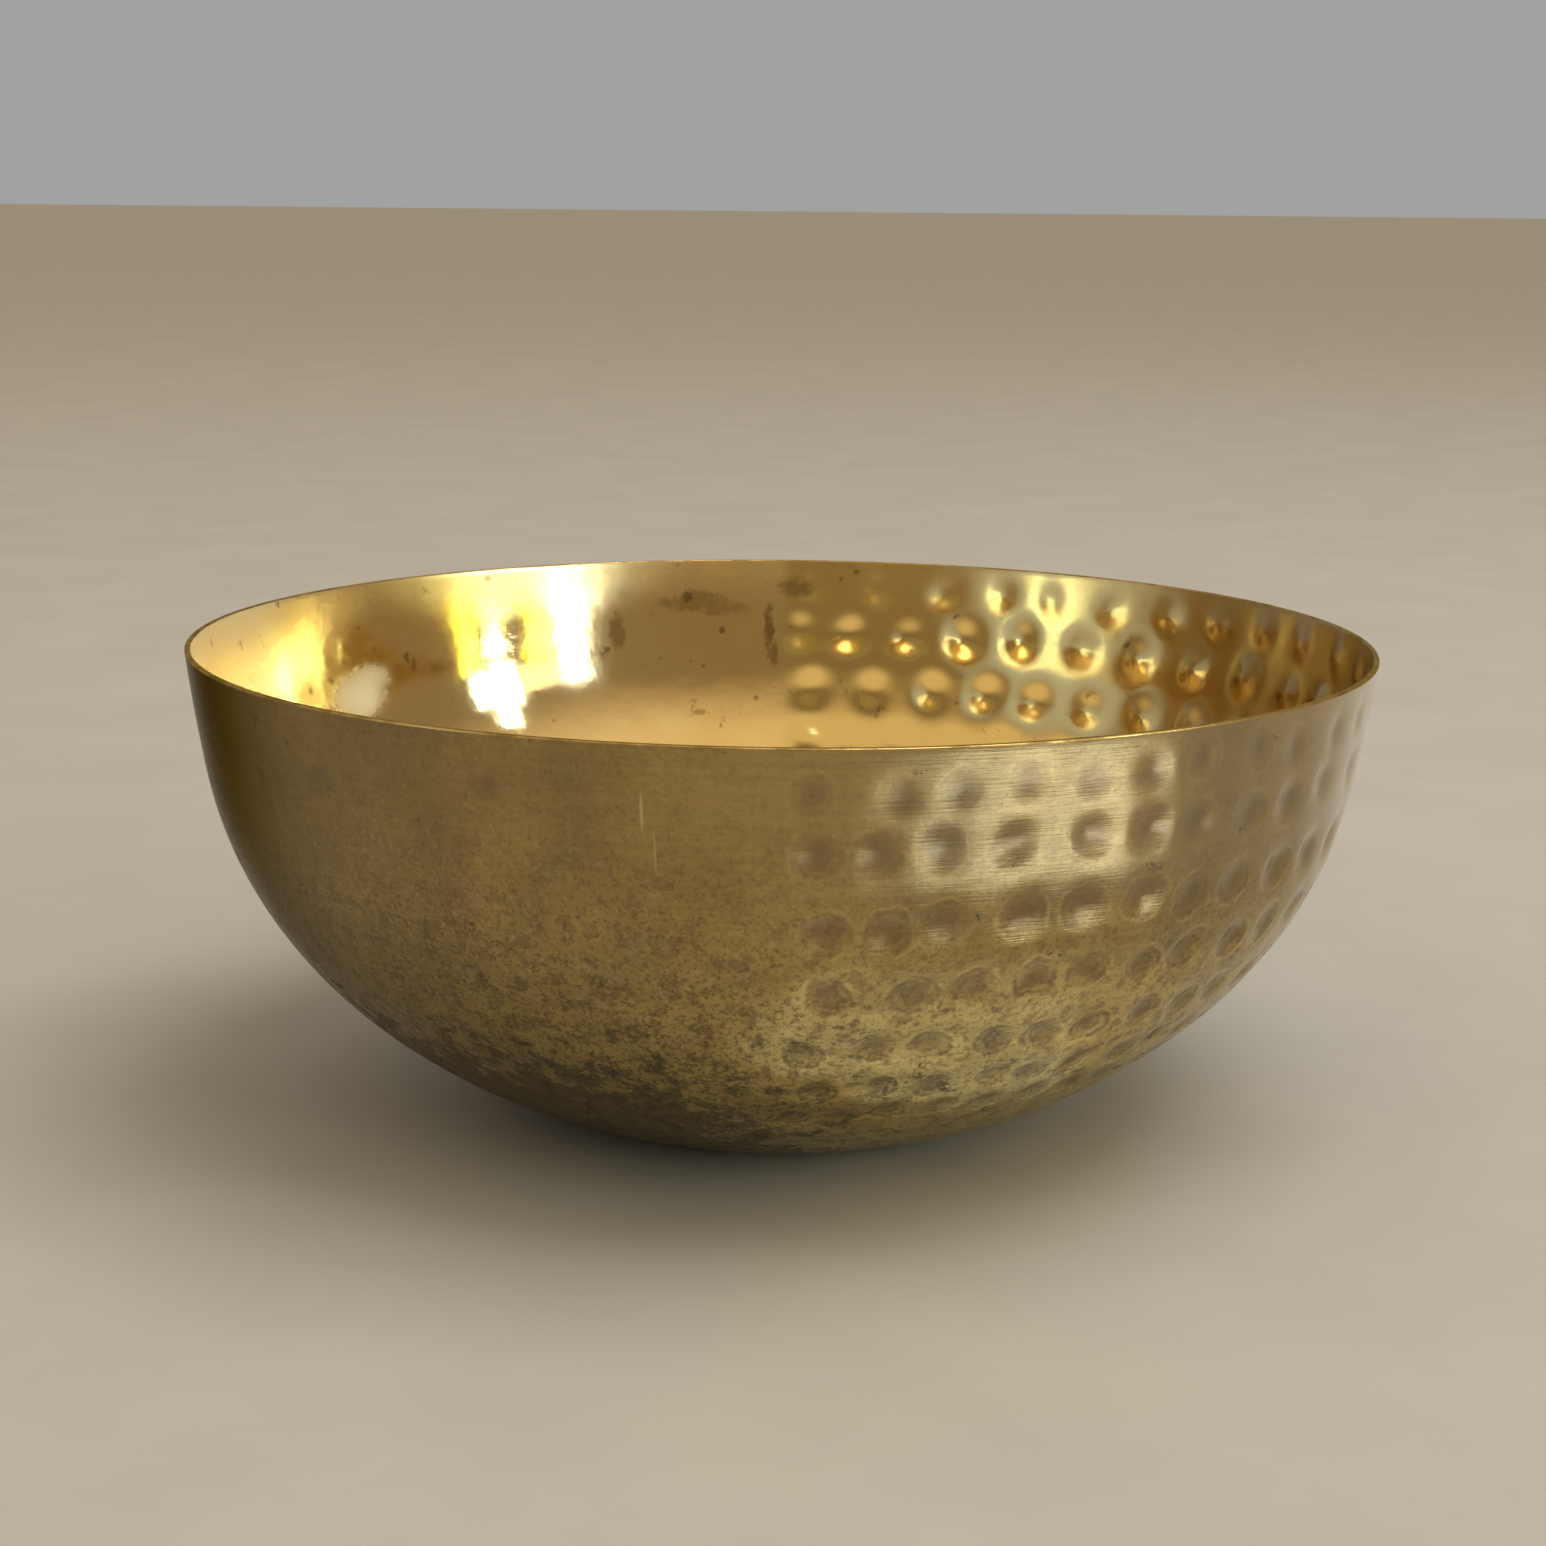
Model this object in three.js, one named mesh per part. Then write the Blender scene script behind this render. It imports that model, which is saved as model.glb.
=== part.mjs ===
// A round bowl raised from one sheet of brass. One half of its wall is plain and the other half
// is hammered from outside: seven rows of round dents that stand out as bumps on the inside.
// Units are millimetres. +Z is up, the origin is the middle of the flat underside, and the
// hammered half is the +X half.

import * as THREE from 'three';

// The bowl
const WALL_RADIUS = 125; // the rim's, without the wall's lean
const HEIGHT = 102; // of the rim's outer edge
const BASE_RADIUS = 40; // of the flat underside
const SHEET = 1.2; // thickness of the metal, measured square to the surface
const WALL_POWER = 2.4; // larger keeps the wall upright further down from the rim
const FLARE_POWER = 1.47; // smaller turns the wall up harder from the base
const LEAN_HEIGHT = 22; // the top of the wall, which leans out to the rim
const LEAN_REACH = 1.8; // how far it leans out
const LEAN_POWER = 1.5; // larger keeps the lean closer to the rim

// The hammered half, from the edge of the plain half at -90 degrees round to +90 degrees
const DENTS_IN_ROW = 25;
const EDGE_CROWDING = 0.019; // how much closer the dents stand at both ends of a row
const ROW_LEAN = 0.037; // how far the middle of every row creeps back, as a share of the row
const EDGE_DROP = 2.8; // how much lower a row starts at its front end
const TURN_TAPER = 0.08; // share of a row over which its turn fades in and out
const AZIMUTH_SCATTER = 0.9; // degrees either way
const DOWN_SCATTER = 0.9; // millimetres either way
const DEPTH_SCATTER = 0.2; // share either way

// down: distance from the rim along the wall. front, back: how far the row is turned at each of
// its ends, in degrees. radius and depth: of its dents.
const DENT_ROWS = [
  { down: 7, front: -0.6, back: -3, radius: 5.8, depth: 0.65 },
  { down: 18.4, front: -1.8, back: 1.2, radius: 6.7, depth: 1.15 },
  { down: 33.2, front: -0.3, back: -2, radius: 6.7, depth: 1.25 },
  { down: 47.8, front: 3, back: 2, radius: 6.5, depth: 1.15 },
  { down: 63, front: 0, back: -1, radius: 6.1, depth: 1.0 },
  { down: 76, front: 2, back: 1, radius: 5.6, depth: 0.8 },
  { down: 87, front: -1, back: -1, radius: 5.1, depth: 0.6 },
];

// The mesh
const CELLS_PER_DENT = 3; // odd, so that one column runs through the middle of each dent
const PLAIN_COLUMNS = 24;
const PROFILE_STEPS = 2000;
const LOWER_WALL_ROWS = 4; // between the last row of dents and the base

const QUARTER = Math.PI / 2;

// The wall's outside profile from the base's edge to the rim: a superellipse that leaves the base
// level and turns steep, with a slight lean outward up to the rim. Each entry has its distance
// from the base along it.
function makeProfile() {
  const points = [];
  let along = 0;
  for (let i = 0; i <= PROFILE_STEPS; i += 1) {
    const angle = (QUARTER * i) / PROFILE_STEPS;
    const spread = (WALL_RADIUS - BASE_RADIUS) * Math.sin(angle) ** (2 / FLARE_POWER);
    const height = HEIGHT * (1 - Math.max(0, Math.cos(angle)) ** (2 / WALL_POWER));
    const lean = Math.max(0, 1 - (HEIGHT - height) / LEAN_HEIGHT) ** LEAN_POWER;
    const radius = BASE_RADIUS + spread + LEAN_REACH * lean;
    const last = points[points.length - 1];
    if (last) along += Math.hypot(radius - last.radius, height - last.height);
    points.push({ radius, height, along });
  }
  return points;
}

const PROFILE = makeProfile();
const WALL_LENGTH = PROFILE[PROFILE_STEPS].along;

// Radius, height and outward slope of the wall at a distance down from the rim
function wallAt(down) {
  const along = THREE.MathUtils.clamp(WALL_LENGTH - down, 0, WALL_LENGTH);
  let upper = PROFILE.findIndex((point) => point.along >= along);
  upper = THREE.MathUtils.clamp(upper, 1, PROFILE_STEPS);
  const a = PROFILE[upper - 1];
  const b = PROFILE[upper];
  const share = (along - a.along) / (b.along - a.along);
  const length = Math.hypot(b.radius - a.radius, b.height - a.height);
  return {
    radius: THREE.MathUtils.lerp(a.radius, b.radius, share),
    height: THREE.MathUtils.lerp(a.height, b.height, share),
    outward: (b.height - a.height) / length,
    upward: -(b.radius - a.radius) / length,
  };
}

// A repeatable scatter from -1 to 1 for one dent
function scatter(row, place, use) {
  const wave = Math.sin(row * 12.9898 + place * 78.233 + use * 37.719) * 43758.5453;
  return 2 * (wave - Math.floor(wave)) - 1;
}

// Azimuth in degrees at a share of the way along a row turned by front and back at its ends
function azimuthAt(share, front, back) {
  const crowded = share - EDGE_CROWDING * Math.sin(2 * Math.PI * share);
  const leant = crowded - ROW_LEAN * Math.sin(Math.PI * share) ** 2;
  const taper = Math.min(1, share / TURN_TAPER, (1 - share) / TURN_TAPER);
  return -90 + 180 * leant + taper * THREE.MathUtils.lerp(front, back, share);
}

// How much lower a row runs than its nominal place
function dropAt(share) {
  return EDGE_DROP * Math.exp(-9 * share);
}

function makeDents() {
  const dents = [];
  DENT_ROWS.forEach((row, r) => {
    for (let place = 0; place < DENTS_IN_ROW; place += 1) {
      const share = (place + 0.5) / DENTS_IN_ROW;
      const azimuth = azimuthAt(share, row.front, row.back) + AZIMUTH_SCATTER * scatter(r, place, 1);
      const down = row.down + dropAt(share) + DOWN_SCATTER * scatter(r, place, 2);
      dents.push({
        row: r,
        place,
        azimuth,
        down,
        radius: row.radius,
        depth: row.depth * (1 + DEPTH_SCATTER * scatter(r, place, 3)),
      });
    }
  });
  return dents;
}

const DENTS = makeDents();

// How deep the wall is dented at a place: each dent is a smooth round dish
function dentDepth(down, azimuth) {
  const { radius } = wallAt(down);
  let depth = 0;
  for (const dent of DENTS) {
    const across = THREE.MathUtils.degToRad(azimuth - dent.azimuth) * radius;
    const distance = Math.hypot(across, down - dent.down) / dent.radius;
    if (distance < 1) depth += (dent.depth * (1 + Math.cos(Math.PI * distance))) / 2;
  }
  return depth;
}

// The mesh's rings from the rim down to the base. Each ring has a nominal distance down, the turn
// of its row and, where it runs through a row of dents, that row's number.
function makeRings() {
  const rings = [];
  const top = { ...DENT_ROWS[0], down: 0 };
  const bottom = { ...DENT_ROWS[DENT_ROWS.length - 1], down: WALL_LENGTH };
  const stops = [top, ...DENT_ROWS, bottom];
  for (let i = 1; i < stops.length; i += 1) {
    const from = stops[i - 1];
    const to = stops[i];
    let steps = CELLS_PER_DENT;
    if (i === stops.length - 1) steps = LOWER_WALL_ROWS;
    for (let step = 0; step < steps; step += 1) {
      const share = step / steps;
      rings.push({
        down: THREE.MathUtils.lerp(from.down, to.down, share),
        front: THREE.MathUtils.lerp(from.front, to.front, share),
        back: THREE.MathUtils.lerp(from.back, to.back, share),
        row: step === 0 ? i - 2 : -1,
      });
    }
  }
  rings.push({ ...bottom, row: -1 });
  return rings;
}

// The places of one ring's points as distance down and azimuth. A ring through a row of dents has
// a point in the middle of each dent.
function ringPlaces(ring, coarse) {
  const places = [{ down: ring.down, azimuth: -90 }];
  const cells = coarse ? 1 : CELLS_PER_DENT;
  // The drop fades out at the rim, which stays level, and at the base
  const fade = Math.min(1, ring.down / DENT_ROWS[0].down, (WALL_LENGTH - ring.down) / WALL_RADIUS);
  for (let column = 0; column < DENTS_IN_ROW * cells; column += 1) {
    const share = (column + 0.5) / (DENTS_IN_ROW * cells);
    const place = Math.floor(column / cells);
    const middle = column % cells === (cells - 1) / 2;
    const dent = DENTS.find((d) => d.row === ring.row && d.place === place);
    if (dent && middle) {
      places.push({ down: dent.down, azimuth: dent.azimuth });
    } else {
      const down = ring.down + fade * dropAt(share);
      places.push({ down, azimuth: azimuthAt(share, ring.front, ring.back) });
    }
  }
  for (let column = 0; column < PLAIN_COLUMNS; column += 1) {
    places.push({ down: ring.down, azimuth: 90 + (180 * column) / PLAIN_COLUMNS });
  }
  return places;
}

// A point of the wall, sunk below its nominal outside by the dents and by a given depth of metal
function wallPoint(place, sunk) {
  const wall = wallAt(place.down);
  const depth = sunk + dentDepth(place.down, place.azimuth);
  const radius = wall.radius - wall.outward * depth;
  const azimuth = THREE.MathUtils.degToRad(place.azimuth);
  return [
    radius * Math.cos(azimuth),
    radius * Math.sin(azimuth),
    wall.height - wall.upward * depth,
  ];
}

// Triangles between two closed rings of points that may have different counts. Both rings run
// anticlockwise from the same azimuth, the first one above the second, and the triangles face out.
function stitch(upper, lower, azimuths, faces) {
  let i = 0;
  let j = 0;
  while (i < upper.length || j < lower.length) {
    const nextUpper = i < upper.length ? azimuths[upper[(i + 1) % upper.length]] : Infinity;
    const nextLower = j < lower.length ? azimuths[lower[(j + 1) % lower.length]] : Infinity;
    const upperTurn = i + 1 >= upper.length ? 270 : nextUpper;
    const lowerTurn = j + 1 >= lower.length ? 270 : nextLower;
    const u = upper[i % upper.length];
    const l = lower[j % lower.length];
    if (j >= lower.length || (i < upper.length && upperTurn <= lowerTurn)) {
      faces.push([u, l, upper[(i + 1) % upper.length]]);
      i += 1;
    } else {
      faces.push([u, l, lower[(j + 1) % lower.length]]);
      j += 1;
    }
  }
}

// One side of the sheet: the wall's rings and the middle of the base
function addSide(sunk, points, azimuths, faces) {
  const rings = makeRings();
  const rows = rings.map((ring, index) => {
    const coarse = index > rings.length - LOWER_WALL_ROWS;
    return ringPlaces(ring, coarse).map((place) => {
      points.push(wallPoint(place, sunk));
      azimuths.push(place.azimuth);
      return points.length - 1;
    });
  });
  for (let i = 1; i < rows.length; i += 1) stitch(rows[i - 1], rows[i], azimuths, faces);
  points.push([0, 0, sunk]);
  azimuths.push(0);
  const middle = points.length - 1;
  const edge = rows[rows.length - 1];
  edge.forEach((point, i) => faces.push([point, middle, edge[(i + 1) % edge.length]]));
  return rows[0];
}

// The whole sheet as one closed surface: outside, inside and the cut edge that joins them
function bowlGeometry() {
  const points = [];
  const azimuths = [];
  const outsideFaces = [];
  const insideFaces = [];
  const edgeFaces = [];
  const outerEdge = addSide(0, points, azimuths, outsideFaces);
  const innerEdge = addSide(SHEET, points, azimuths, insideFaces);
  stitch(innerEdge, outerEdge, azimuths, edgeFaces);
  const faces = [...outsideFaces, ...insideFaces.map(([a, b, c]) => [a, c, b]), ...edgeFaces];
  const geometry = new THREE.BufferGeometry();
  geometry.setAttribute('position', new THREE.Float32BufferAttribute(points.flat(), 3));
  geometry.setIndex(faces.flat());
  geometry.computeVertexNormals();
  return geometry;
}

function brass() {
  return new THREE.MeshStandardMaterial({ color: 0xa88a4e, metalness: 1, roughness: 0.35 });
}

const hammeredBowl = new THREE.Group();
const bowl = new THREE.Mesh(bowlGeometry(), brass());
bowl.name = 'bowl';
hammeredBowl.add(bowl);

export default hammeredBowl;
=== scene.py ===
import math

import bpy
import numpy as np
from mathutils import Matrix, Vector

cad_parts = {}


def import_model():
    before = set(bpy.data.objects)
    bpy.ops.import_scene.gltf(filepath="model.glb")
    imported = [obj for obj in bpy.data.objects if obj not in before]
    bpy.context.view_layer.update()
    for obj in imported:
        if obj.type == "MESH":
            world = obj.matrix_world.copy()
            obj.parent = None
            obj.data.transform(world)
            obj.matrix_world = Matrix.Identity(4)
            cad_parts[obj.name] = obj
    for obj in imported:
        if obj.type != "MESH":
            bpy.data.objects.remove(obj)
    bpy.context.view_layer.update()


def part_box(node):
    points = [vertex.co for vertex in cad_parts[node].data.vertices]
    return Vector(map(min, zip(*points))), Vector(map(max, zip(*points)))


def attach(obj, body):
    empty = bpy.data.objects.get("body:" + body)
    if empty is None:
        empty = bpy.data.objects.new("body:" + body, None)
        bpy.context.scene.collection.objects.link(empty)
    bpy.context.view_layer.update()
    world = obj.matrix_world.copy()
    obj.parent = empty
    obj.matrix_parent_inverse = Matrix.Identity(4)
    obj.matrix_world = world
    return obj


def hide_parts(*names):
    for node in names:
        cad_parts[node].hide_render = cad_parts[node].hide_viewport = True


# A round brass bowl raised from one sheet. One half of its wall is plain, and the other half is
# hammered from outside. This script makes the fine surface of that sheet, its aged and polished
# finishes, and a plain studio around it. Lengths are metres, unless a comment says millimetres.
# On the bowl, azimuth 0 is +X and 90 degrees is +Y.

MM = 0.001

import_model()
bowl_low, bowl_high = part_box("bowl")

# The bowl, as the CAD part has it
LEAN_HEIGHT = 22 * MM  # the top of the wall, which leans out to the rim
LEAN_REACH = 1.8 * MM  # how far it leans out
LEAN_POWER = 1.5  # larger keeps the lean closer to the rim
WALL_RADIUS = bowl_high.x - LEAN_REACH  # the rim's, without the lean
HEIGHT = 102 * MM
BASE_RADIUS = 40 * MM  # of the flat underside
SHEET = 1.2 * MM
WALL_POWER = 2.4  # larger keeps the wall upright further down from the rim
FLARE_POWER = 1.47  # smaller turns the wall up harder from the base

# The hammered half, from its front end at -90 degrees round to its back end at 90
DENTS_IN_ROW = 25
EDGE_CROWDING = 0.019  # how much closer the dents stand at both ends of a row
ROW_LEAN = 0.037  # how far the middle of every row creeps back, as a share of the row
EDGE_DROP = 2.8  # how much lower a row starts at its front end, in millimetres
EDGE_DROP_FADE = 9  # larger ends that drop sooner
TURN_TAPER = 0.08  # share of a row over which its turn fades in and out
AZIMUTH_SCATTER = 0.9  # degrees either way
DOWN_SCATTER = 0.9  # millimetres either way
DEPTH_SCATTER = 0.2  # share either way
DENT_OVAL = 0.09  # how far from round a dent can be, as a share of its radius
DENT_SOFTNESS = 2.6  # larger makes a dent's dish narrower within its radius
FAR_FROM_DENTS = 3.0  # stands for no dent near, in dent radii

# Distance down from the rim along the wall, turn at the front and back end of the row in degrees,
# and radius and depth of the dents. Lengths in this table are millimetres.
DENT_ROWS = [
    (7, -0.6, -3, 5.8, 0.65),
    (18.4, -1.8, 1.2, 6.7, 1.15),
    (33.2, -0.3, -2, 6.7, 1.25),
    (47.8, 3, 2, 6.5, 1.15),
    (63, 0, -1, 6.1, 1.0),
    (76, 2, 1, 5.6, 0.8),
    (87, -1, -1, 5.1, 0.6),
]

# The slow waves of a sheet raised by hand: height in millimetres, waves round the bowl, radians per
# metre down the wall, and phase. They fade out near the base, which stays level.
WAVES = [
    (0.10, 3, 18, 0.6),
    (0.07, 7, -30, 2.1),
    (0.04, 13, 55, 4.0),
    (0.05, 2, 90, 0.0),
]
WAVES_FADE = 30 * MM

# The fine mesh
HAMMERED_COLUMNS = 360
PLAIN_COLUMNS = 110
DENTED_ROWS = 80
LOWER_ROWS = 16
DENTED_LENGTH = 96 * MM  # of the wall, from the rim down
BASE_RINGS = 5
EDGE_ROUND = 0.35 * MM  # how far the rounded edge rises above the two sides
EDGE_FULLNESS = 0.6  # smaller makes the edge squarer
EDGE_STEPS = 4
PROFILE_STEPS = 4000

# The order of the sheet's materials
OUTSIDE, INSIDE, EDGE = 0, 1, 2


# ---------------------------------------------------------------------------------------------
# Shape
# ---------------------------------------------------------------------------------------------


def make_profile():
    """Distance from the base along the wall, radius and height of the outside, base to rim."""
    angle = np.linspace(0, math.pi / 2, PROFILE_STEPS + 1)
    spread = (WALL_RADIUS - BASE_RADIUS) * np.sin(angle) ** (2 / FLARE_POWER)
    height = HEIGHT * (1 - np.clip(np.cos(angle), 0, 1) ** (2 / WALL_POWER))
    lean = np.clip(1 - (HEIGHT - height) / LEAN_HEIGHT, 0, 1) ** LEAN_POWER
    radius = BASE_RADIUS + spread + LEAN_REACH * lean
    steps = np.hypot(np.diff(radius), np.diff(height))
    return np.concatenate([[0], np.cumsum(steps)]), radius, height


PROFILE_ALONG, PROFILE_RADIUS, PROFILE_HEIGHT = make_profile()
PROFILE_OUTWARD = np.gradient(PROFILE_HEIGHT, PROFILE_ALONG)
PROFILE_UPWARD = -np.gradient(PROFILE_RADIUS, PROFILE_ALONG)
WALL_LENGTH = PROFILE_ALONG[-1]


def wall_at(down):
    """Radius, height and outward normal (outward, upward) of the wall at a distance down."""
    along = np.clip(WALL_LENGTH - down, 0, WALL_LENGTH)
    radius = np.interp(along, PROFILE_ALONG, PROFILE_RADIUS)
    height = np.interp(along, PROFILE_ALONG, PROFILE_HEIGHT)
    outward = np.interp(along, PROFILE_ALONG, PROFILE_OUTWARD)
    upward = np.interp(along, PROFILE_ALONG, PROFILE_UPWARD)
    length = np.hypot(outward, upward)
    return radius, height, outward / length, upward / length


def scatter(row, place, use):
    """A repeatable scatter from -1 to 1 for one dent."""
    # The fractional part of a large multiple of a sine, which changes with every dent and use
    wave = math.sin(row * 12.9898 + place * 78.233 + use * 37.719) * 43758.5453
    return 2 * (wave - math.floor(wave)) - 1


def azimuth_at(share, front, back):
    """Azimuth in degrees of a share of a row, from its front end at -90 to its back end at 90."""
    crowded = share - EDGE_CROWDING * math.sin(2 * math.pi * share)
    leant = crowded - ROW_LEAN * math.sin(math.pi * share) ** 2
    taper = min(1, share / TURN_TAPER, (1 - share) / TURN_TAPER)
    return -90 + 180 * leant + taper * (front + (back - front) * share)


def make_dents():
    """Row, azimuth in radians, distance down, radius and depth of every dent."""
    dents = []
    for row, (down, front, back, radius, depth) in enumerate(DENT_ROWS):
        for place in range(DENTS_IN_ROW):
            share = (place + 0.5) / DENTS_IN_ROW
            azimuth = azimuth_at(share, front, back) + AZIMUTH_SCATTER * scatter(row, place, 1)
            drop = EDGE_DROP * math.exp(-EDGE_DROP_FADE * share)
            lower = down + drop + DOWN_SCATTER * scatter(row, place, 2)
            deep = depth * (1 + DEPTH_SCATTER * scatter(row, place, 3))
            dents.append((row, math.radians(azimuth), lower * MM, radius * MM, deep * MM))
    return dents


DENTS = make_dents()


def dent_fields(down, azimuth):
    """How deep each place is dented, and how far it is from the nearest dent, in dent radii."""
    radius, _, _, _ = wall_at(down)
    depth = np.zeros_like(down)
    nearest = np.full_like(down, FAR_FROM_DENTS)
    for place, (row, dent_azimuth, dent_down, dent_radius, deep) in enumerate(DENTS):
        # Each blow of the hammer lands a little tilted, so a dish is slightly oval
        oval = 1 + DENT_OVAL * scatter(row, place, 4)
        tilt = math.pi * scatter(row, place, 5)
        across = (azimuth - dent_azimuth) * radius
        along = down - dent_down
        first = (across * math.cos(tilt) + along * math.sin(tilt)) * oval
        second = (along * math.cos(tilt) - across * math.sin(tilt)) / oval
        distance = np.hypot(first, second) / dent_radius
        depth += deep * np.exp(-DENT_SOFTNESS * distance**2)
        nearest = np.minimum(nearest, distance)
    return depth, nearest


def unevenness(down, azimuth):
    """How far inward the slow waves take each place of the wall."""
    waves = np.zeros_like(down)
    for height, round_bowl, down_wall, phase in WAVES:
        waves += height * MM * np.sin(round_bowl * azimuth + down_wall * down + phase)
    return waves * np.clip((WALL_LENGTH - down) / WAVES_FADE, 0, 1)


def column_azimuths():
    """Azimuths of the mesh's columns, once round from -90 degrees, closer on the hammered half."""
    hammered = np.linspace(-math.pi / 2, math.pi / 2, HAMMERED_COLUMNS, endpoint=False)
    plain = np.linspace(math.pi / 2, 1.5 * math.pi, PLAIN_COLUMNS, endpoint=False)
    return np.concatenate([hammered, plain])


def row_downs():
    """Distances down the wall of the mesh's rows, closer where there are dents."""
    dented = np.linspace(EDGE_ROUND, DENTED_LENGTH, DENTED_ROWS, endpoint=False)
    lower = np.linspace(DENTED_LENGTH, WALL_LENGTH, LOWER_ROWS)
    return np.concatenate([dented, lower])


def side_points(sunk):
    """Points of one side of the sheet, sunk this far below the outer surface, and their distances
    from the nearest dent. Rows run from the rim to the base and then inward to near its middle."""
    azimuths, downs = column_azimuths(), row_downs()
    azimuth, down = np.meshgrid(azimuths, downs)
    radius, height, outward, upward = wall_at(down)
    depth, nearest = dent_fields(down, azimuth)
    depth = depth + sunk + unevenness(down, azimuth)
    reach = radius - outward * depth
    level = height - upward * depth
    wall = np.stack([reach * np.cos(azimuth), reach * np.sin(azimuth), level], axis=-1)
    shares = 1 - np.arange(1, BASE_RINGS + 1) / (BASE_RINGS + 1)
    base = wall[-1][None, :, :] * shares[:, None, None]
    base[:, :, 2] = sunk
    distances = np.concatenate([nearest, np.full(base.shape[:2], FAR_FROM_DENTS)])
    return np.concatenate([wall, base]), distances


def edge_points(outer, inner):
    """The rounded cut edge between the top rows of the two sides, square to the leaning wall."""
    azimuth = column_azimuths()
    _, _, outward, upward = wall_at(EDGE_ROUND)
    flat = np.full_like(azimuth, outward)
    rise = np.stack([-upward * np.cos(azimuth), -upward * np.sin(azimuth), flat], axis=-1)
    steps = 2 * EDGE_STEPS + 2
    rows = []
    for step in range(1, steps):
        turn = math.pi * step / steps
        across = (1 - math.cos(turn)) / 2
        lift = math.sin(turn) ** EDGE_FULLNESS * EDGE_ROUND
        rows.append(outer + (inner - outer) * across + rise * lift)
    return np.array(rows)


def bowl_mesh():
    """The whole sheet as one closed mesh, with each point's distance from the nearest dent."""
    outside, outside_distances = side_points(0.0)
    inside, inside_distances = side_points(SHEET)
    edge = edge_points(outside[0], inside[0])
    columns = outside.shape[1]
    # One strip of rows: the outside from its middle up, over the edge and down the inside
    strip = np.concatenate([outside[::-1], edge, inside])
    edge_distances = np.full(edge.shape[:2], FAR_FROM_DENTS)
    distances = np.concatenate([outside_distances[::-1], edge_distances, inside_distances])
    rows = len(strip)
    points = np.concatenate([strip.reshape(-1, 3), [[0, 0, 0.0]], [[0, 0, SHEET]]])
    outer_middle, inner_middle = rows * columns, rows * columns + 1
    faces, finishes = [], []
    edge_from, edge_to = len(outside) - 1, len(outside) + len(edge)
    for row in range(rows - 1):
        finish = OUTSIDE if row < edge_from else EDGE if row < edge_to else INSIDE
        for column in range(columns):
            after = (column + 1) % columns
            low, high = row * columns, (row + 1) * columns
            faces.append((low + column, low + after, high + after, high + column))
            finishes.append(finish)
    last = (rows - 1) * columns
    for column in range(columns):
        after = (column + 1) % columns
        faces.append((after, column, outer_middle))
        finishes.append(OUTSIDE)
        faces.append((last + column, last + after, inner_middle))
        finishes.append(INSIDE)
    mesh = bpy.data.meshes.new("brass_sheet")
    mesh.from_pydata(points.tolist(), [], faces)
    mesh.polygons.foreach_set("material_index", np.array(finishes, np.int32))
    mesh.shade_smooth()
    middles = [FAR_FROM_DENTS, FAR_FROM_DENTS]
    attribute = mesh.attributes.new("dent_distance", "FLOAT", "POINT")
    attribute.data.foreach_set("value", np.append(distances, middles).astype(np.float32))
    mesh.validate()
    return mesh


# ---------------------------------------------------------------------------------------------
# Materials
# ---------------------------------------------------------------------------------------------


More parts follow.
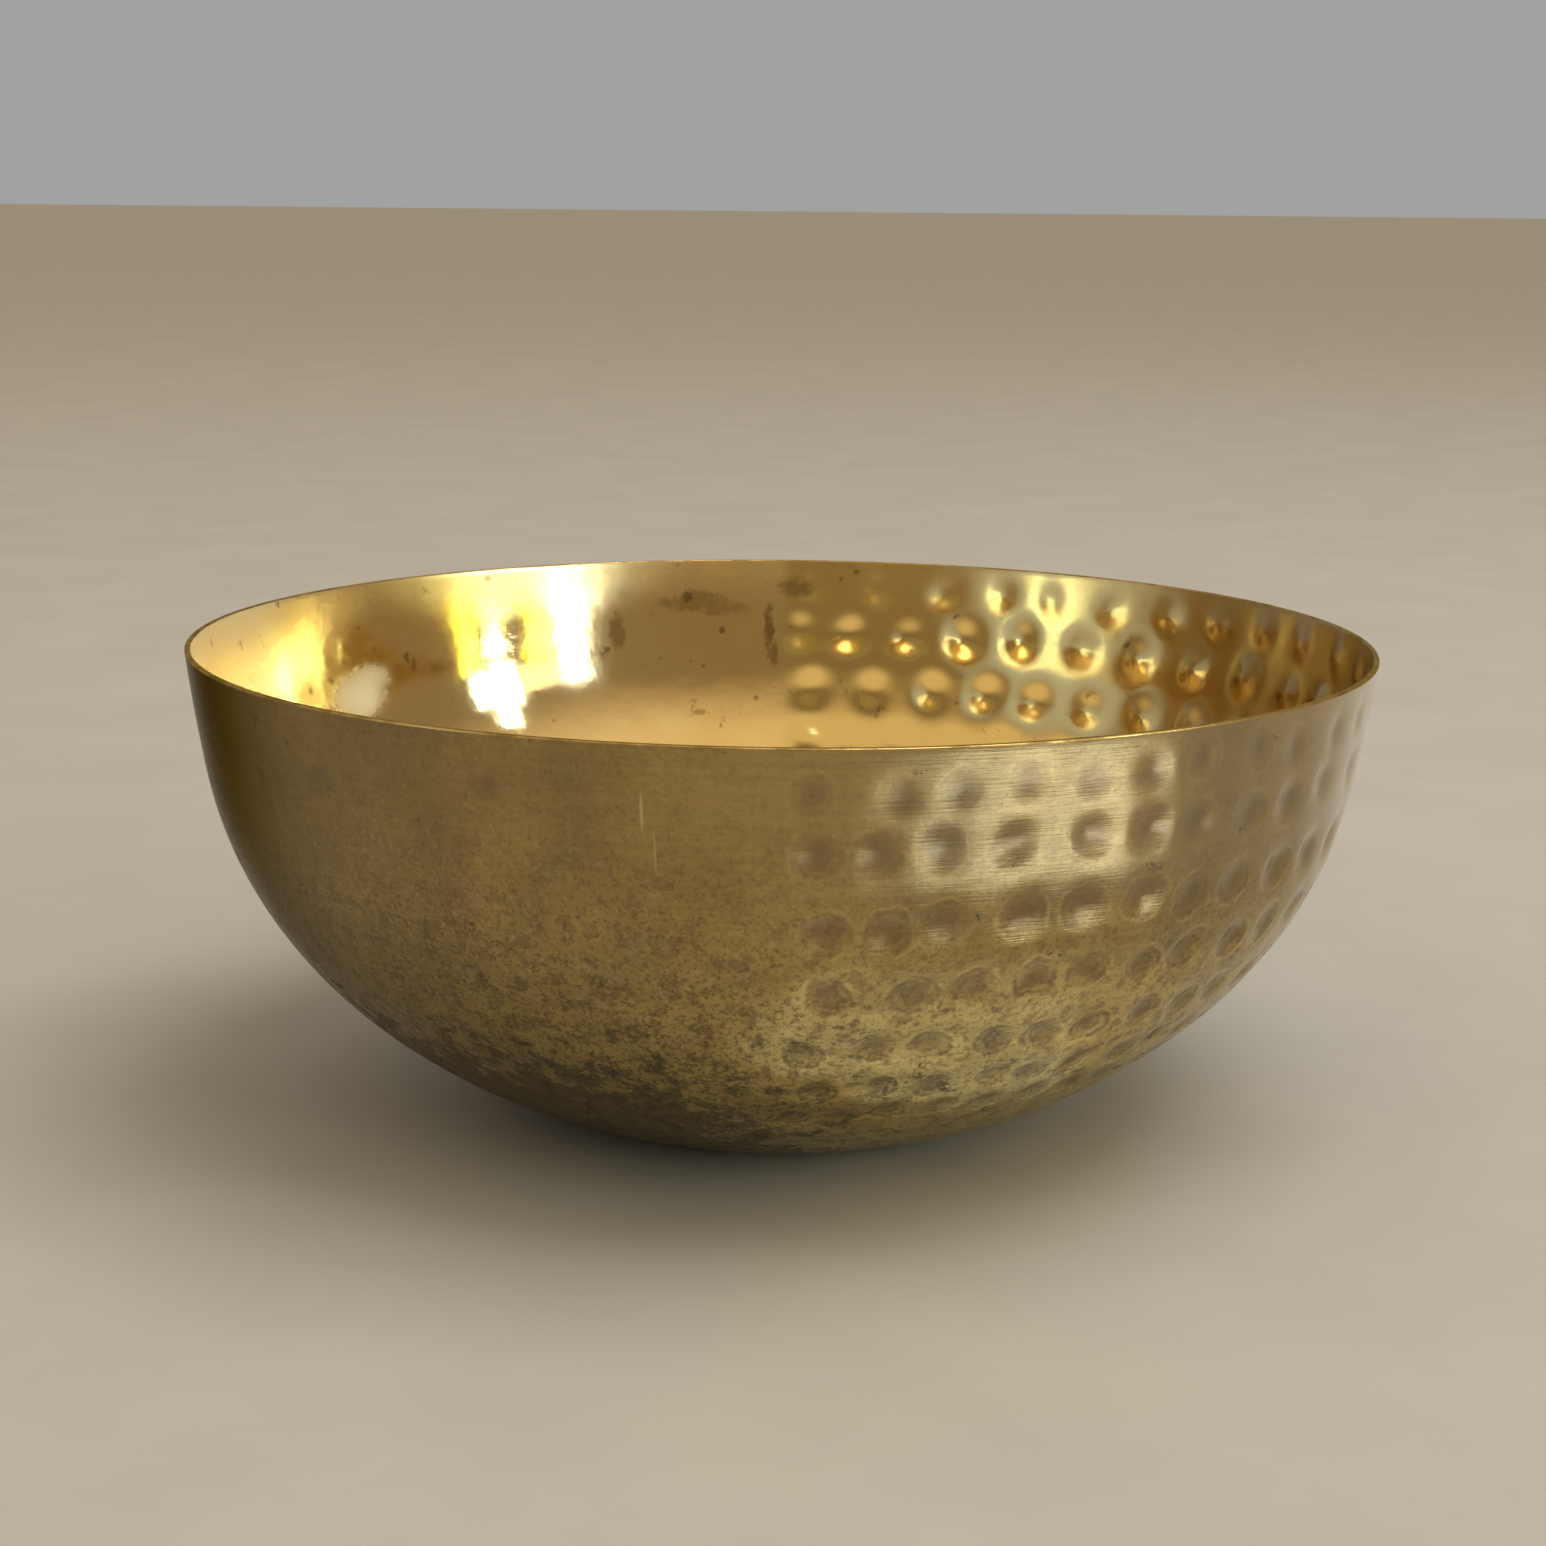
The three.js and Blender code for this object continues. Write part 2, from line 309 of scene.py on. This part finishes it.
class Graph:
    """A node tree of a material or a world, with short ways to add to it."""

    def __init__(self, owner, shader="ShaderNodeBsdfPrincipled", output="ShaderNodeOutputMaterial"):
        self.owner = owner
        self.owner.use_nodes = True
        self.tree = owner.node_tree
        self.tree.nodes.clear()
        self.shader = self.tree.nodes.new(shader)
        self.tree.links.new(self.shader.outputs[0], self.tree.nodes.new(output).inputs["Surface"])

    def put(self, value, socket):
        """Feed a socket from another node's output, or set it to a plain value."""
        if isinstance(value, bpy.types.NodeSocket):
            self.tree.links.new(value, socket)
        else:
            socket.default_value = value

    def set(self, name, value):
        """Put a value on one of the shader's own sockets."""
        self.put(value, self.shader.inputs[name])

    def position(self):
        """The place on the object, in metres."""
        return self.tree.nodes.new("ShaderNodeTexCoord").outputs["Object"]

    def shifted(self, vector, far):
        """The place moved far along each axis, so that noise there differs from noise here."""
        node = self.tree.nodes.new("ShaderNodeVectorMath")
        node.operation = "ADD"
        self.put(vector, node.inputs[0])
        node.inputs[1].default_value = (far, far, far)
        return node.outputs[0]

    def math(self, operation, first, second=0.0):
        """One operation of Blender's Math node."""
        node = self.tree.nodes.new("ShaderNodeMath")
        node.operation = operation
        self.put(first, node.inputs[0])
        self.put(second, node.inputs[1])
        return node.outputs[0]

    def product(self, *factors):
        """The product of two or more values."""
        total = factors[0]
        for factor in factors[1:]:
            total = self.math("MULTIPLY", total, factor)
        return total

    def sum(self, *terms):
        """The sum of two or more values."""
        total = terms[0]
        for term in terms[1:]:
            total = self.math("ADD", total, term)
        return total

    def split(self, vector):
        """The X, Y and Z of a vector."""
        node = self.tree.nodes.new("ShaderNodeSeparateXYZ")
        self.put(vector, node.inputs[0])
        return node.outputs

    def join(self, x, y, z):
        """A vector from its X, Y and Z."""
        node = self.tree.nodes.new("ShaderNodeCombineXYZ")
        self.put(x, node.inputs[0])
        self.put(y, node.inputs[1])
        self.put(z, node.inputs[2])
        return node.outputs[0]

    def noise(self, vector, size, detail=4.0, roughness=0.55, distortion=0.0):
        """Noise whose features are about size metres across, about 0 to 1."""
        node = self.tree.nodes.new("ShaderNodeTexNoise")
        self.put(vector, node.inputs["Vector"])
        node.inputs["Scale"].default_value = 1 / size
        node.inputs["Detail"].default_value = detail
        node.inputs["Roughness"].default_value = roughness
        node.inputs["Distortion"].default_value = distortion
        return node.outputs["Fac"]

    def spots(self, vector, spacing):
        """Distance from the nearest of many scattered points, in units of spacing."""
        node = self.tree.nodes.new("ShaderNodeTexVoronoi")
        self.put(vector, node.inputs["Vector"])
        node.inputs["Scale"].default_value = 1 / spacing
        return node.outputs["Distance"]

    def fade(self, value, start, end, low=0.0, high=1.0):
        """Smoothly from low at start to high at end."""
        node = self.tree.nodes.new("ShaderNodeMapRange")
        node.interpolation_type = "SMOOTHSTEP"
        self.put(value, node.inputs["Value"])
        node.inputs["From Min"].default_value = start
        node.inputs["From Max"].default_value = end
        node.inputs["To Min"].default_value = low
        node.inputs["To Max"].default_value = high
        return node.outputs["Result"]

    def ring(self, value, centre, width):
        """1 where the value is at the centre, fading to 0 at the width on both sides."""
        off = self.math("ABSOLUTE", self.math("SUBTRACT", value, centre))
        return self.fade(off, width, 0.0)

    def mix(self, factor, first, second):
        """From the first colour to the second."""
        node = self.tree.nodes.new("ShaderNodeMix")
        node.data_type = "RGBA"
        self.put(factor, node.inputs[0])
        self.put(colour(first), node.inputs[6])
        self.put(colour(second), node.inputs[7])
        return node.outputs[2]

    def attribute(self, name):
        """A number that the mesh has at each point."""
        node = self.tree.nodes.new("ShaderNodeAttribute")
        node.attribute_name = name
        return node.outputs["Fac"]

    def bump(self, height, distance, strength=1.0, normal=None):
        """The surface's direction where a height from 0 to 1 stands for this distance. It goes on
        top of another bump, if one is given."""
        node = self.tree.nodes.new("ShaderNodeBump")
        node.inputs["Strength"].default_value = strength
        node.inputs["Distance"].default_value = distance
        self.put(height, node.inputs["Height"])
        if normal is not None:
            self.put(normal, node.inputs["Normal"])
        return node.outputs["Normal"]


def colour(value):
    """A colour with its alpha, or a socket as it is."""
    if isinstance(value, bpy.types.NodeSocket) or len(value) == 4:
        return value
    return (*value, 1.0)


# Colours, linear red, green and blue
GOLD = (0.43, 0.298, 0.096)
OLIVE = (0.31, 0.215, 0.070)
PALE = (0.62, 0.50, 0.26)
PAINTED_GREY_REFLECTION = (0.74, 0.66, 0.52)
WORN_AND_LIT = (0.95, 0.74, 0.28)
BROWN = (0.17, 0.105, 0.045)
DARK = (0.13, 0.105, 0.062)
GRIME = (0.045, 0.034, 0.020)
POLISHED = (0.91, 0.76, 0.43)
AMBER = (0.86, 0.67, 0.33)
HAMMERED = (0.79, 0.63, 0.28)
DARKENED = (0.34, 0.21, 0.085)
HAZED = (0.93, 0.87, 0.72)
SMUDGE_AND_REFLECTION = (0.95, 0.92, 0.84)
CUT_EDGE = (0.60, 0.42, 0.17)
SATIN_TINT = (0.95, 0.9, 0.8)
SHADED_TINT = (0.28, 0.24, 0.17)
EDGE_TINT = (0.7, 0.55, 0.3, 1.0)
FLOOR_GREY = (0.49, 0.495, 0.495)
FLOOR_LIGHT = (0.52, 0.525, 0.525)
WORLD_LOW = (0.27, 0.19, 0.10)
WORLD_HIGH = (0.80, 0.615, 0.36)
WORLD_LEFT = (0.53, 0.55, 0.56)
WORLD_BEHIND = (0.36, 0.36, 0.365)

# Noise becomes brushed lines when lengths round the bowl count this little against its height
BRUSHED_SHARE = 0.02

# Single marks that the photo shows, each with its azimuth in degrees and its height, half width
# and half height in millimetres, and its strength
DARK_MARKS_INSIDE = [
    (100.5, 91.5, 10, 3, 0.5),
    (97, 89.5, 8, 2, 0.4),
    (91.6, 84, 1.6, 7, 0.75),
    (90.9, 78, 1.3, 5, 0.6),
    (110.3, 84.4, 2.6, 5, 0.6),
    (88.5, 95, 5, 3, 0.6),
    (97.3, 84.1, 1.0, 1.2, 0.8),
    (100.4, 63.5, 2.4, 1.0, 0.6),
    (93.2, 66.8, 0.9, 0.9, 0.7),
]
SMUDGE_AND_REFLECTION_MARKS = [
    (147.0, 75.6, 12.5, 7.5, 0.9),
    (145.2, 79.0, 10.0, 5.0, 0.8),
]
DARK_MARKS_OUTSIDE = [
    (-143.1, 85.2, 1.5, 2.5, 0.8),
    (-106.5, 43.6, 1.6, 1.6, 0.8),
    (-133.5, 88, 5, 3.5, 0.35),
    (-115, 92, 4, 3, 0.3),
]
PALE_MARKS_OUTSIDE = [
    (-101.2, 89.5, 0.4, 4.2, 0.7),
    (-100.2, 82, 0.3, 5, 0.4),
]


def marks_at(graph, position, marks, ragged, core=0.1):
    """The combined strength of single marks. Ragged roughens their outlines, and a lower core makes
    them softer."""
    x, y, z = graph.split(position)
    along = graph.product(graph.math("ARCTAN2", y, x), WALL_RADIUS)
    ripple = graph.math("SUBTRACT", graph.noise(position, 2.5 * MM, 6.0, 0.7), 0.5)
    rough_outline = graph.product(ripple, ragged)
    total = 0.0
    for azimuth, height, half_wide, half_tall, strength in marks:
        off = graph.math("SUBTRACT", along, math.radians(azimuth) * WALL_RADIUS)
        across = graph.math("DIVIDE", off, half_wide * MM)
        up = graph.math("DIVIDE", graph.math("SUBTRACT", z, height * MM), half_tall * MM)
        far = graph.sum(graph.product(across, across), graph.product(up, up), rough_outline)
        total = graph.math("MAXIMUM", total, graph.fade(far, 1.15, core, 0.0, strength))
    return total


def brushed_lines(graph, position, spacing):
    """Fine lines that run round the bowl, as spinning or polishing leaves them."""
    x, y, z = graph.split(position)
    along = graph.product(graph.math("ARCTAN2", y, x), WALL_RADIUS * BRUSHED_SHARE)
    return graph.noise(graph.join(along, 0.0, z), spacing, detail=3.0, roughness=0.7)


def aged_colour(graph, position, mottle, speckle, age):
    """Olive and golden clouds, rubbed brighter low down and painted lighter there on the hammered
    side, which faces the lights, with painted shade over the plain half, browner towards the right,
    and brown and dark specks over them.
    """
    x, _, z = graph.split(position)
    clouds = graph.fade(graph.noise(position, 38 * MM, 4.0, 0.55, 0.6), 0.33, 0.62)
    brass = graph.mix(clouds, OLIVE, GOLD)
    # Rubbed brighter low down, and also painted light: the patches are strongest on the hammered
    # side, which faces the lights
    low = graph.fade(z, 72 * MM, 30 * MM)
    hammered_side = graph.fade(x, -60 * MM, 25 * MM, 0.3, 1.0)
    patches = graph.fade(graph.noise(position, 9 * MM, 6.0, 0.65), 0.42, 0.57, 0.55, 1.0)
    brass = graph.mix(graph.product(low, hammered_side, patches), brass, WORN_AND_LIT)
    # Painted shade: the plain half, away from the lights, turns browner towards the left
    brass = graph.mix(graph.fade(x, -5 * MM, -85 * MM, 0.0, 0.30), brass, BROWN)
    brass = graph.mix(graph.fade(x, 62 * MM, 88 * MM, 0.0, 0.24), brass, BROWN)
    brass = graph.mix(graph.product(mottle, age, 0.38), brass, BROWN)
    brass = graph.mix(graph.product(speckle, age, 0.33), brass, GRIME)
    streaks = graph.fade(brushed_lines(graph, position, 1.1 * MM), 0.40, 0.62, 0.0, 0.15)
    brass = graph.mix(streaks, brass, BROWN)
    elsewhere = graph.shifted(position, 0.3)
    bloom = graph.fade(graph.noise(elsewhere, 1.4 * MM, 5.0, 0.65), 0.52, 0.66)
    return graph.mix(graph.product(bloom, age, 0.2), brass, PALE)


def hammer_rings(graph, position, brass):
    """The faint rings that a hammer leaves in each dent, plainest low down where nothing rubs them
    off. Also gives the distance from the nearest dent, in dent radii with a ragged outline."""
    z = graph.split(position)["Z"]
    ragged = graph.math("SUBTRACT", graph.noise(position, 4 * MM, 6.0, 0.6), 0.5)
    far = graph.sum(graph.attribute("dent_distance"), graph.product(ragged, 0.6))
    elsewhere = graph.shifted(position, 0.5)
    broken = graph.fade(graph.noise(elsewhere, 5 * MM, 4.0), 0.42, 0.60, 0.15, 1.0)
    lower = graph.product(graph.fade(z, 92 * MM, 46 * MM, 0.25, 1.0), broken)
    inner_ring = graph.product(graph.ring(far, 0.36, 0.12), 0.8)
    dark_rings = graph.math("MAXIMUM", graph.ring(far, 0.62, 0.14), inner_ring)
    brass = graph.mix(graph.product(dark_rings, lower, 0.6), brass, BROWN)
    pale_ring = graph.ring(far, 0.80, 0.11)
    return graph.mix(graph.product(pale_ring, lower, 0.25), brass, WORN_AND_LIT), far


def dirt_at(graph, position):
    """Grime gathers low on the plain side. It is thick at the base and breaks up into specks above,
    among scattered dark pits."""
    x, _, z = graph.split(position)
    low = graph.fade(z, 52 * MM, 14 * MM)
    plain_side = graph.fade(x, 22 * MM, -35 * MM, 0.3, 1.0)
    thick = graph.product(low, plain_side, 0.28)
    patches = graph.sum(graph.noise(position, 6 * MM, 9.0, 0.78), thick)
    grime = graph.product(graph.fade(patches, 0.61, 0.68), 0.86)
    spots = graph.fade(graph.spots(position, 3.2 * MM), 0.30, 0.14)
    chosen = graph.fade(graph.noise(position, 12 * MM, 2.0), 0.50, 0.60)
    pits = graph.product(spots, chosen, graph.fade(z, 85 * MM, 25 * MM), 0.8)
    return graph.math("MAXIMUM", grime, pits)


def aged_brass():
    """The outside: satin brass gone brown and olive, speckled, with dark grime low down. Its right
    tip is shiny with a painted grey reflection, and its left tip is darkened with a painted dark
    reflection."""
    graph = Graph(bpy.data.materials.new("aged_brass_outside"))
    position = graph.position()
    x, _, z = graph.split(position)
    mottle = graph.fade(graph.noise(position, 3.5 * MM, 9.0, 0.74), 0.49, 0.58)
    speckle = graph.fade(graph.noise(position, 0.9 * MM, 3.0, 0.7), 0.52, 0.62)
    # Age shows most low down and on the plain side
    older_below = graph.fade(z, 94 * MM, 38 * MM, 0.5, 2.0)
    age = graph.product(older_below, graph.fade(x, -30 * MM, 30 * MM, 1.0, 0.7))
    brass = aged_colour(graph, position, mottle, speckle, age)
    brass, far = hammer_rings(graph, position, brass)
    # Painted reflections: the right tip is painted grey and the left tip dark, like the backgrounds
    # they mirror at a glancing angle. The middle of each dent is browner, partly patina and partly
    # painted shade.
    reflecting_right_tip = graph.fade(x, 98 * MM, 124 * MM)
    brass = graph.mix(graph.product(reflecting_right_tip, 0.6), brass, PAINTED_GREY_REFLECTION)
    # Browner in the middle of each dent: partly patina in the hollow, partly painted shade
    brass = graph.mix(graph.fade(far, 0.82, 0.1, 0.0, 0.58), brass, BROWN)
    # Painted shade on the left tip: a darker colour and specular tint stand in for the dark
    # background it mirrors
    shaded_left_tip = graph.fade(x, -66 * MM, -121 * MM)
    brass = graph.mix(graph.product(shaded_left_tip, 0.8), brass, DARK)
    brass = graph.mix(marks_at(graph, position, DARK_MARKS_OUTSIDE, 2.4), brass, DARK)
    brass = graph.mix(marks_at(graph, position, PALE_MARKS_OUTSIDE, 0.4), brass, PALE)
    dirt = dirt_at(graph, position)
    graph.set("Base Color", graph.mix(dirt, brass, GRIME))
    graph.set("Specular Tint", graph.mix(shaded_left_tip, SATIN_TINT, SHADED_TINT))
    graph.set("Metallic", graph.fade(dirt, 0.0, 1.0, 1.0, 0.35))
    rough_from_age = graph.product(mottle, age, 0.05)
    graph.set("Roughness", graph.sum(rough_from_age, 0.19, graph.product(dirt, 0.3)))
    normal = graph.bump(brushed_lines(graph, position, 0.5 * MM), 0.06 * MM)
    normal = graph.bump(speckle, 0.006 * MM, 0.6, normal)
    graph.set("Normal", normal)
    # Handling and lacquer leave a coat that is thickest high on the hammered half
    satin = graph.fade(shaded_left_tip, 0.0, 1.0, 0.35, 0.03)
    glossy = graph.product(graph.fade(x, -15 * MM, 35 * MM), graph.fade(z, 62 * MM, 80 * MM))
    shine = graph.sum(satin, graph.product(reflecting_right_tip, 0.5), graph.product(glossy, 0.5))
    graph.set("Coat Weight", graph.product(shine, graph.fade(dirt, 0.0, 1.0, 1.0, 0.1)))
    graph.set("Coat IOR", 1.7)
    graph.set("Coat Roughness", 0.16)
    graph.set("Coat Normal", normal)
    return graph.owner


def polished_brass():
    """The inside: bright golden brass with faint lines, haze under the rim and a few stains."""
    graph = Graph(bpy.data.materials.new("polished_brass_inside"))
    position = graph.position()
    x, _, z = graph.split(position)
    # The hammered half of the wall, down to the floor of the bowl
    hammered = graph.product(graph.fade(x, -2 * MM, 4 * MM), graph.fade(z, 4 * MM, 24 * MM))
    clouds = graph.fade(graph.noise(position, 40 * MM, 3.0), 0.35, 0.65)
    brass = graph.mix(clouds, POLISHED, AMBER)
    brass = graph.mix(hammered, brass, HAMMERED)
    brass = graph.mix(graph.fade(x, 70 * MM, 122 * MM, 0.0, 0.75), brass, DARKENED)
    tip = graph.fade(x, -112 * MM, -123 * MM)
    brass = graph.mix(graph.product(tip, 0.8), brass, HAZED)
    # A pale smudge, also painted lighter as a painted reflection of a window
    smudge_and_reflection = marks_at(graph, position, SMUDGE_AND_REFLECTION_MARKS, 1.0, -0.1)
    brass = graph.mix(smudge_and_reflection, brass, SMUDGE_AND_REFLECTION)
    brass = graph.mix(marks_at(graph, position, DARK_MARKS_INSIDE, 3.2), brass, DARKENED)
    stains = graph.fade(graph.noise(position, 6 * MM, 5.0, 0.6), 0.63, 0.72)
    graph.set("Base Color", graph.mix(graph.product(stains, 0.6), brass, BROWN))
    graph.set("Metallic", 1.0)
    smears = graph.fade(graph.noise(position, 20 * MM, 5.0, 0.6), 0.3, 0.7, 0.06, 0.12)
    under_rim = graph.fade(z, 86 * MM, 101 * MM)
    haze = graph.product(under_rim, graph.fade(hammered, 0, 1, 0.20, 0.06))
    hazed_tip = graph.product(tip, 0.22)
    rough_smudge = graph.product(smudge_and_reflection, 0.45)
    rough_dents = graph.product(hammered, 0.06)
    graph.set("Roughness", graph.sum(smears, haze, hazed_tip, rough_smudge, rough_dents))
    normal = graph.bump(brushed_lines(graph, position, 0.6 * MM), 0.003 * MM)
    normal = graph.bump(graph.noise(position, 15 * MM, 3.0, 0.45), 0.14 * MM, 1.0, normal)
    rubbed = graph.fade(graph.noise(position, 18 * MM, 2.0), 0.45, 0.62)
    grain = graph.product(graph.noise(position, 1.6 * MM, 3.0), rubbed)
    graph.set("Normal", graph.bump(grain, 0.013 * MM, 1.0, normal))
    return graph.owner


def cut_edge():
    """The sheared and filed edge of the sheet at the rim."""
    graph = Graph(bpy.data.materials.new("brass_cut_edge"))
    position = graph.position()
    worn = graph.fade(graph.noise(position, 5 * MM, 4.0), 0.4, 0.65)
    graph.set("Base Color", graph.mix(worn, CUT_EDGE, OLIVE))
    graph.set("Specular Tint", EDGE_TINT)
    graph.set("Metallic", 1.0)
    graph.set("Roughness", graph.fade(worn, 0, 1, 0.24, 0.4))
    graph.set("Normal", graph.bump(graph.noise(position, 0.8 * MM), 0.03 * MM))
    return graph.owner


def floor_paint():
    """Matt pale paint with very faint clouds."""
    graph = Graph(bpy.data.materials.new("pale_floor"))
    tone = graph.fade(graph.noise(graph.position(), 60 * MM, 6.0), 0.3, 0.7)
    graph.set("Base Color", graph.mix(tone, FLOOR_GREY, FLOOR_LIGHT))
    graph.set("Roughness", 0.7)
    graph.set("Specular IOR Level", 0.15)
    return graph.owner


# ---------------------------------------------------------------------------------------------
# Studio
# ---------------------------------------------------------------------------------------------

CAMERA_LENS_MM = 65.2
CAMERA_SENSOR_MM = 36
CAMERA_DISTANCE = 0.600
CAMERA_HEIGHT = 0.1958
CAMERA_PITCH, CAMERA_ROLL, CAMERA_YAW = 11.71, 0.55, -0.16

SOFTBOX_DISTANCE = 2.6
# Name, azimuth and elevation, the angles that the light fills as seen from the bowl (wide, tall),
# radiance and tint. Azimuth 0 is +Y and 90 is +X.
SOFTBOXES = [
    ("key_right", 112.0, 16.5, 3.2, 16, 14.0, (0.86, 0.97, 1.0)),
    ("key_inner", 115.6, 14.5, 3.0, 10, 12.0, (0.92, 0.98, 0.95)),
    ("key_edge", 107.2, 14, 3.2, 8, 10.0, (0.80, 0.95, 1.0)),
    ("key_yellow", 105.4, 5.7, 4.6, 7, 5.0, (1.0, 0.93, 0.08)),
    ("key_low", 112.6, 5.5, 3.6, 6, 5.0, (1.0, 0.97, 0.35)),
    ("key_middle", 123.4, 6.5, 4.6, 7, 8.0, (1.0, 0.97, 0.08)),
    ("key_warm", 122.6, 13.5, 8, 7, 1.5, (1.0, 0.90, 0.66)),
    ("key_front", 131.0, 9.5, 5.0, 14, 14.0, (0.86, 0.97, 1.0)),
    ("glint_left", 243, 4.5, 14, 8, 1.8, (0.93, 1.0, 0.72)),
    ("overhead", 110, 70, 40, 36, 3.0, (1.0, 0.96, 0.90)),
]

CARD_HEIGHT = 3 * MM
CARD_TURN = 127.5
CARD_TINT = (0.78, 0.91, 1.0)
# Name, x and y, width and length (in millimetres) and radiance
CARDS = [
    ("card_near", 143, -191, 46, 152, 1.2),
    ("card_far", 206, -228, 90, 172, 2.0),
    ("card_soft", 101, -281, 130, 34, 0.45),
    ("card_low", 44, -106, 60, 96, 0.15),
]

# The level direction, from the bowl, of the middle of the grey part of the world
TOWARD_LEFT = (-0.914, -0.407)

FLOOR_HALF = 30.0
FLOOR_CLEARANCE = 0.2 * MM


def camera():
    """A camera above and in front of the bowl, looking slightly down."""
    pitch = math.radians(CAMERA_PITCH)
    roll = math.radians(CAMERA_ROLL)
    yaw = math.radians(CAMERA_YAW)
    ahead = Vector((math.sin(yaw), math.cos(yaw), 0))
    forward = ahead * math.cos(pitch) - Vector((0, 0, math.sin(pitch)))
    level = Vector((math.cos(yaw), -math.sin(yaw), 0))
    upright = level.cross(forward)
    right = level * math.cos(roll) + upright * math.sin(roll)
    up = upright * math.cos(roll) - level * math.sin(roll)
    data = bpy.data.cameras.new("camera")
    data.lens = CAMERA_LENS_MM
    data.sensor_width = CAMERA_SENSOR_MM
    data.clip_start = 0.01
    data.clip_end = 50
    made = bpy.data.objects.new("camera", data)
    bpy.context.scene.collection.objects.link(made)
    turn = Matrix((right, up, -forward)).transposed()
    place = Matrix.Translation((0, -CAMERA_DISTANCE, CAMERA_HEIGHT))
    made.matrix_world = place @ turn.to_4x4()
    bpy.context.scene.camera = made


def panel(name, place, away, wide, tall, radiance, tint):
    """A rectangular light at a place, facing back along away. Only the camera doesn't see it."""
    light = bpy.data.lights.new(name, "AREA")
    light.shape = "RECTANGLE"
    light.size = wide
    light.size_y = tall
    light.energy = radiance * math.pi * wide * tall
    light.color = tint
    made = bpy.data.objects.new(name, light)
    made.location = place
    made.rotation_euler = away.to_track_quat("Z", "Y").to_euler()
    made.visible_camera = False
    bpy.context.scene.collection.objects.link(made)
    return made


def heading(azimuth, elevation):
    """The direction of an azimuth (0 is +Y and 90 is +X) and an elevation, in degrees."""
    az, el = math.radians(azimuth), math.radians(elevation)
    return Vector((math.sin(az) * math.cos(el), math.cos(az) * math.cos(el), math.sin(el)))


def softbox(name, azimuth, elevation, wide, tall, radiance, tint):
    """A light far from the bowl."""
    away = heading(azimuth, elevation)
    width = 2 * SOFTBOX_DISTANCE * math.tan(math.radians(wide / 2))
    height = 2 * SOFTBOX_DISTANCE * math.tan(math.radians(tall / 2))
    place = Vector((0, 0, HEIGHT)) + away * SOFTBOX_DISTANCE
    panel(name, place, away, width, height, radiance, tint)


def card(name, x, y, wide, tall, radiance):
    """A dim card that lies by the bowl and shines straight up."""
    place = Vector((x * MM, y * MM, CARD_HEIGHT))
    down = Vector((0, 0, -1))
    made = panel(name, place, down, wide * MM, tall * MM, radiance, CARD_TINT)
    made.rotation_euler = (math.pi, 0, math.radians(CARD_TURN))


def lights():
    """A window-like key in strips low on the right, a faint glint on the left, a large light
    overhead, and four cards at the right front that shine up at the hammered wall. The last card,
    card_low, lies under the overhang of the wall."""
    for box in SOFTBOXES:
        softbox(*box)
    for flat in CARDS:
        card(*flat)


def world():
    """Dim and warm low down, brighter above the front, grey on the left and behind the bowl."""
    graph = Graph(bpy.data.worlds.new("studio"), "ShaderNodeBackground", "ShaderNodeOutputWorld")
    toward = graph.tree.nodes.new("ShaderNodeTexCoord").outputs["Generated"]
    x, y, z = graph.split(toward)
    left = graph.sum(graph.product(x, TOWARD_LEFT[0]), graph.product(y, TOWARD_LEFT[1]))
    low_left = graph.product(graph.fade(left, 0.86, 0.97), graph.fade(z, 0.55, 0.40))
    tone = graph.mix(graph.fade(z, 0.28, 0.60), WORLD_LOW, WORLD_HIGH)
    tone = graph.mix(low_left, tone, WORLD_LEFT)
    tone = graph.mix(graph.fade(y, 0.1, 0.8), tone, WORLD_BEHIND)
    graph.set("Color", tone)
    bpy.context.scene.world = graph.owner


def floor():
    """The plain floor, just below the bowl."""
    half = FLOOR_HALF
    level = bowl_low.z - FLOOR_CLEARANCE
    corners = [(-half, -half), (half, -half), (half, half), (-half, half)]
    mesh = bpy.data.meshes.new("floor")
    mesh.from_pydata([(x, y, level) for x, y in corners], [], [(0, 1, 2, 3)])
    mesh.materials.append(floor_paint())
    made = bpy.data.objects.new("floor", mesh)
    bpy.context.scene.collection.objects.link(made)


# ---------------------------------------------------------------------------------------------
# Put together
# ---------------------------------------------------------------------------------------------

camera()
sheet = bpy.data.objects.new("brass_sheet", bowl_mesh())
bpy.context.scene.collection.objects.link(sheet)
for material in (aged_brass(), polished_brass(), cut_edge()):
    sheet.data.materials.append(material)
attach(sheet, "root")
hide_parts("bowl")
floor()
lights()
world()
bpy.context.scene.view_settings.view_transform = "Standard"
